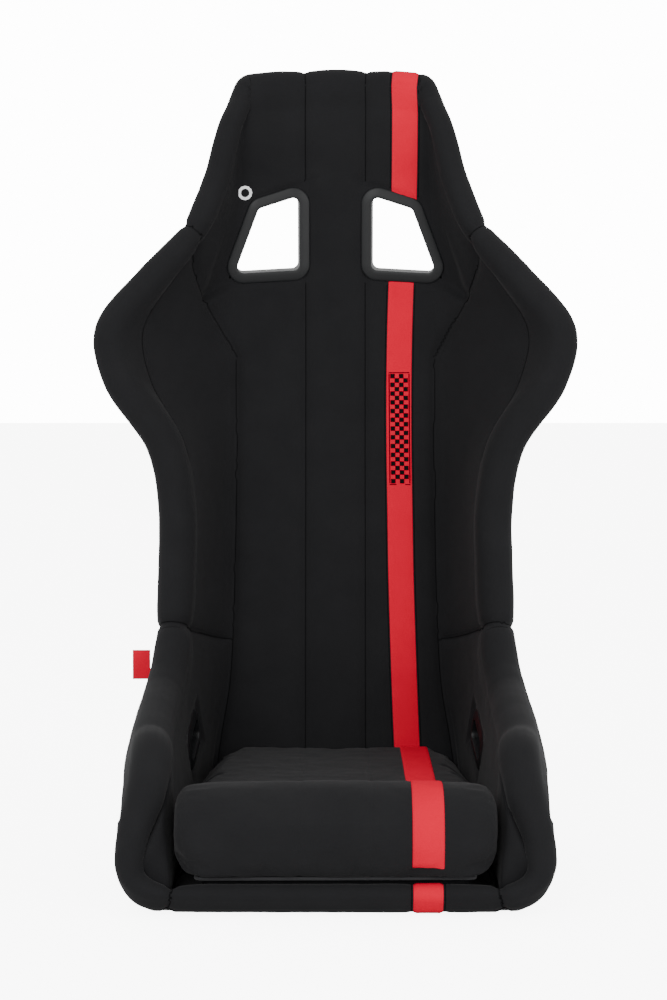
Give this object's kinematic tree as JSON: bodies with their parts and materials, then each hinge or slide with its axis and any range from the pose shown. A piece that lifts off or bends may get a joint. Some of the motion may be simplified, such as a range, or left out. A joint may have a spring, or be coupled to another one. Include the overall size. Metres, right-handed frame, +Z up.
{
  "type": "racing seat",
  "caption": "Fixed-back bucket racing seat: moulded shell with wrapped foam pads, shoulder and lap harness openings, side mounts, a lift-out cushion and thigh roll.",
  "frame": {"origin": "middle of the footprint, on the floor the shell stands on", "axes": "+Z up; the sitter faces -Y; +X is on the right when the seat is seen from its front"},
  "size_m": [0.5732, 0.5583, 0.9472],
  "materials": {
    "black_cloth": "woven black cloth over foam",
    "red_cloth": "woven red cloth",
    "gloss_shell": "glass-fibre laminate in black gel coat",
    "satin_plastic": "satin dark grey injection-moulded plastic",
    "zinc_steel": "zinc-plated steel",
    "black_alloy": "black anodised",
    "hook_and_loop": "matt black hook-and-loop tape"
  },
  "bodies": {
    "shell": {"back_pad": "black_cloth", "back_stripe": "red_cloth", "base_pad": "black_cloth", "edge_piping": "black_cloth", "head_stripe": "red_cloth", "left_front_insert": "zinc_steel", "left_hip_bolster": "black_cloth", "left_lap_bezel": "satin_plastic", "left_lap_ring": "satin_plastic", "left_lap_screw_1": "zinc_steel", "left_lap_screw_2": "zinc_steel", "left_loop_tape": "hook_and_loop", "left_mount_rail": "black_alloy", "left_rear_insert": "zinc_steel", "left_shoulder_bezel": "satin_plastic", "left_shoulder_ring": "satin_plastic", "left_shoulder_screw_1": "zinc_steel", "left_shoulder_screw_2": "zinc_steel", "left_shoulder_screw_3": "zinc_steel", "left_wing_pad": "black_cloth", "lip_pad": "black_cloth", "lip_stripe": "red_cloth", "right_front_insert": "zinc_steel", "right_hip_bolster": "black_cloth", "right_lap_bezel": "satin_plastic", "right_lap_ring": "satin_plastic", "right_lap_screw_1": "zinc_steel", "right_lap_screw_2": "zinc_steel", "right_loop_tape": "hook_and_loop", "right_mount_rail": "black_alloy", "right_rear_insert": "zinc_steel", "right_shoulder_bezel": "satin_plastic", "right_shoulder_ring": "satin_plastic", "right_shoulder_screw_1": "zinc_steel", "right_shoulder_screw_2": "zinc_steel", "right_shoulder_screw_3": "zinc_steel", "right_wing_pad": "black_cloth", "ring_badge": "zinc_steel", "shell": "gloss_shell", "side_tag": "red_cloth"},
    "seat_cushion": {"seat_cushion": "black_cloth", "seat_stripe": "red_cloth", "left_hook_tape": "hook_and_loop", "right_hook_tape": "hook_and_loop"},
    "thigh_roll": {"thigh_roll": "black_cloth", "roll_stripe": "red_cloth", "roll_plinth": "black_cloth", "roll_welt": "red_cloth"}
  },
  "joints": [
    {"name": "cushion_lift", "type": "slide", "parent": "shell", "child": "seat_cushion", "axis": [0, -0.6, 0.8], "range_m": [0, 0.45]},
    {"name": "roll_lift", "type": "slide", "parent": "seat_cushion", "child": "thigh_roll", "axis": [0, -0.6, 0.8], "range_m": [0, 0.3]}
  ]
}
